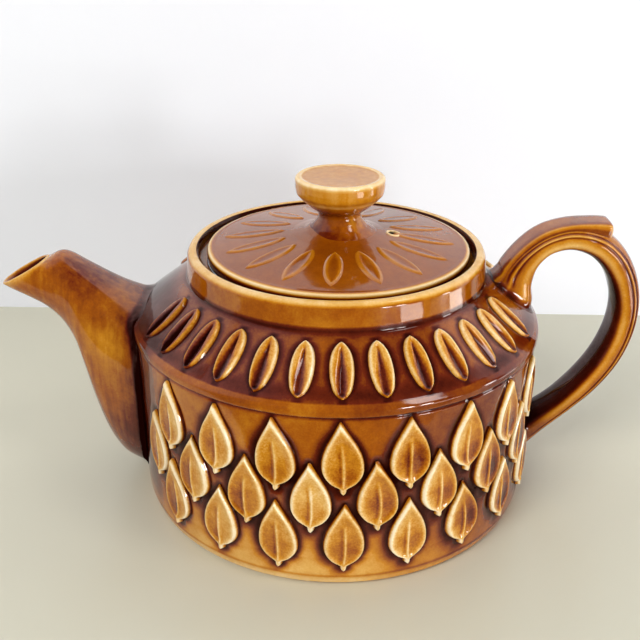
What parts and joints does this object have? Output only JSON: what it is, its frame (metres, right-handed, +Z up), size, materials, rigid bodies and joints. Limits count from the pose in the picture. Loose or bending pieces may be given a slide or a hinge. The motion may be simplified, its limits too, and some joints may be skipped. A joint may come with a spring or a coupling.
{
  "type": "teapot infuser",
  "caption": "Glazed ceramic teapot with moulded leaf relief, a tapering spout, a loop handle, a knobbed lid and a lift-out steel infuser basket.",
  "frame": {"origin": "centre of the flat base, on the table", "axes": "+Z up, spout along -X, handle along +X"},
  "size_m": [0.234, 0.1496, 0.1187],
  "materials": {
    "glaze_pot": "glossy amber-brown glaze, pale where thin on raised edges",
    "glaze_spout": "glossy amber-brown glaze, pale at the lip",
    "glaze_handle": "glossy amber-brown glaze, pale along the ridges",
    "glaze_lid": "glossy amber-brown glaze, pale on the petal rims",
    "glaze_knob": "glossy amber-brown glaze, pale round the edge",
    "steel_rim": "satin stainless steel",
    "steel_mesh": "fine perforated stainless steel",
    "steel_wire": "polished stainless steel wire"
  },
  "bodies": {
    "pot": {"pot_body": "glaze_pot", "spout": "glaze_spout", "handle": "glaze_handle"},
    "infuser": {"infuser_rim": "steel_rim", "infuser_sleeve": "steel_mesh", "infuser_floor": "steel_mesh", "infuser_foot_band": "steel_rim", "infuser_loop_front": "steel_wire", "infuser_loop_back": "steel_wire"},
    "lid": {"lid_plate": "glaze_lid", "lid_knob": "glaze_knob"}
  },
  "joints": [
    {"name": "infuser_lift", "type": "slide", "parent": "pot", "child": "infuser", "axis": [0, 0, 1], "range_m": [0, 0.095]},
    {"name": "lid_lift", "type": "slide", "parent": "infuser", "child": "lid", "axis": [0, 0, 1], "range_m": [0, 0.06]}
  ]
}
